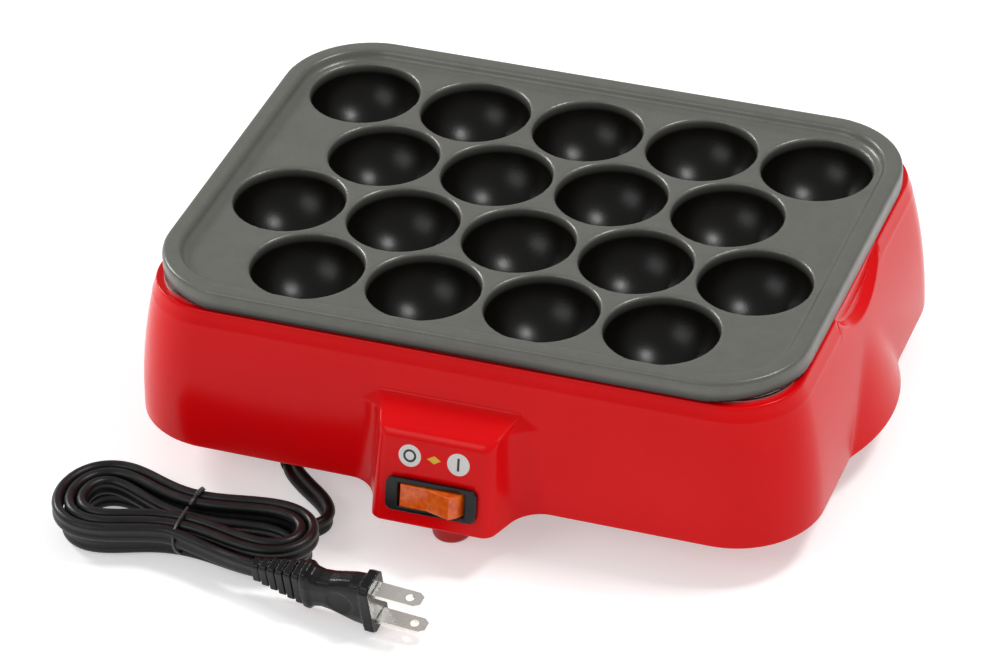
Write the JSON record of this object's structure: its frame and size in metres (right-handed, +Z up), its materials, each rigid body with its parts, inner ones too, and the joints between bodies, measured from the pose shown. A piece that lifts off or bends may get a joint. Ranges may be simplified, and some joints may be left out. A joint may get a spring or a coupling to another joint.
{
  "type": "takoyaki maker",
  "caption": "Electric takoyaki maker: a lift-off plate of round pockets over a bent element in a moulded body, with a rocker switch and a tied flat cord.",
  "frame": {"origin": "on the table, under the middle of the machine's outline", "axes": "+Z up, -Y the front with the switch, +X the right-hand end"},
  "size_m": [0.2622, 0.2497, 0.0778],
  "materials": {
    "red_plastic": "glossy moulded red",
    "coated_aluminium": "grey non-stick coating with a fine speckle",
    "pan_steel": "bright sheet steel",
    "sheath": "dark oxidised sheath",
    "ceramic": "unglazed ceramic",
    "black_plastic": "black moulded plastic",
    "lamp_glass": "clear glass",
    "orange_plastic": "translucent orange plastic",
    "cord_black": "soft satin black",
    "plug_black": "moulded satin black",
    "lead_dark": "sleeved wire",
    "lead_grey": "glass-braid sleeve",
    "lead_white": "sleeved wire",
    "brass": "tinned brass",
    "bright_steel": "zinc-plated steel",
    "blade_metal": "nickel-plated brass"
  },
  "bodies": {
    "base": {"body_shell": "red_plastic", "bottom_cover": "red_plastic", "cover_screws": "bright_steel", "reflector_pan": "pan_steel", "pan_screws": "bright_steel", "heater_tube": "sheath", "heater_seals": "ceramic", "heater_pins": "bright_steel", "heater_clips": "bright_steel", "thermostat": "black_plastic", "thermostat_cap": "bright_steel", "thermostat_screws": "bright_steel", "thermal_fuse": "bright_steel", "fuse_clip": "bright_steel", "lead_live": "lead_dark", "lead_link": "lead_grey", "lead_heater": "lead_grey", "lead_switched": "lead_dark", "lead_neutral": "lead_white", "crimp_caps": "brass", "switch_housing": "black_plastic", "switch_terminals": "brass", "neon_lamp": "lamp_glass", "cord_bush": "black_plastic", "cord_inner": "cord_black", "cord_clamp": "black_plastic", "clamp_screws": "bright_steel", "cord_stretch": "cord_black", "cord_hank": "cord_black", "cord_tail": "cord_black", "cord_tie": "cord_black", "plug_relief": "plug_black", "plug_body": "plug_black", "plug_blades": "blade_metal"},
    "plate": {"cook_plate": "coated_aluminium"},
    "rocker_switch": {"rocker": "orange_plastic"}
  },
  "joints": [
    {"name": "plate_lift", "type": "slide", "parent": "base", "child": "plate", "axis": [0, 0, 1], "range_m": [0, 0.12]},
    {"name": "rocker_hinge", "type": "hinge", "parent": "base", "child": "rocker_switch", "pos_m": [0, -0.09505, 0.02617], "axis": [0, 0.244, 0.9698], "range_deg": [0, 22]}
  ]
}
